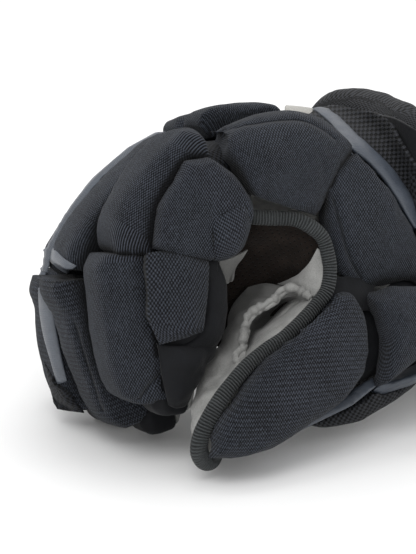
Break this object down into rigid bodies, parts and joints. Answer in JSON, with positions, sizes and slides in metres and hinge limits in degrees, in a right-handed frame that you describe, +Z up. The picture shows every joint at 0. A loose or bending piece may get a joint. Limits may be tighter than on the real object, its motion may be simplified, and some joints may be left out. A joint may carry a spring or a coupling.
{
  "type": "hockey glove",
  "caption": "Right-hand ice hockey glove with padded finger, backhand and thumb rolls, suede palm and a flared cuff, curled palm down.",
  "frame": {"origin": "middle of the glove's box on the surface that it lies on", "axes": "+X along the glove towards the cuff's mouth, +Y away from the thumb, +Z up from the surface, palm down"},
  "size_m": [0.2882, 0.1804, 0.1559],
  "materials": {
    "knit_padding": "charcoal navy knit over foam, matt",
    "black_mesh": "black open mesh, matt",
    "black_cloth": "black woven nylon, matt",
    "grey_suede": "light grey synthetic suede, matt",
    "ribbed_webbing": "dark grey ribbed binding tape, matt",
    "glossy_strip": "blue-grey coated synthetic, satin",
    "light_grey_cloth": "pale grey synthetic leather, matt",
    "brown_gusset": "dark brown perforated suede, matt"
  },
  "bodies": {
    "root": {"palm": "grey_suede", "backhand_base": "black_mesh", "index_stall_palm": "grey_suede", "index_stall_back": "black_cloth", "middle_stall_palm": "grey_suede", "middle_stall_back": "black_cloth", "ring_stall_palm": "grey_suede", "ring_stall_back": "black_cloth", "pinky_stall_palm": "grey_suede", "pinky_stall_back": "black_cloth", "thumb_stall_palm": "grey_suede", "thumb_stall_back": "black_cloth", "web_binding": "ribbed_webbing", "thumb_web": "grey_suede", "web_gusset": "brown_gusset", "index_tip_roll": "knit_padding", "index_knuckle_roll": "knit_padding", "middle_tip_roll": "knit_padding", "middle_knuckle_roll": "knit_padding", "ring_tip_roll": "knit_padding", "ring_knuckle_roll": "knit_padding", "pinky_tip_roll": "knit_padding", "pinky_knuckle_roll": "knit_padding", "ring_tip_strip": "glossy_strip", "ring_knuckle_strip": "glossy_strip", "pinky_tip_strip": "glossy_strip", "pinky_knuckle_strip": "glossy_strip", "index_side_underlay": "black_cloth", "index_side_pad_upper": "knit_padding", "index_side_pad_lower": "knit_padding", "index_backhand_pad": "knit_padding", "middle_backhand_pad": "knit_padding", "ring_backhand_pad": "knit_padding", "pinky_backhand_pad": "knit_padding", "thumb_pad": "knit_padding", "wrist_pad_upper": "knit_padding", "wrist_pad_lower": "knit_padding", "backhand_strip": "glossy_strip", "thumb_edge_strip": "glossy_strip", "wrist_pad_strip": "glossy_strip", "thumb_side_mesh": "black_mesh", "backhand_band": "light_grey_cloth", "cuff_roll": "black_mesh", "wrist_mesh_panel": "black_mesh", "cuff_back_band": "light_grey_cloth", "cuff_back_panel": "knit_padding", "cuff_thumb_panel": "knit_padding", "cuff_pinky_panel": "knit_padding", "cuff_palm_band": "black_cloth"}
  },
  "joints": []
}
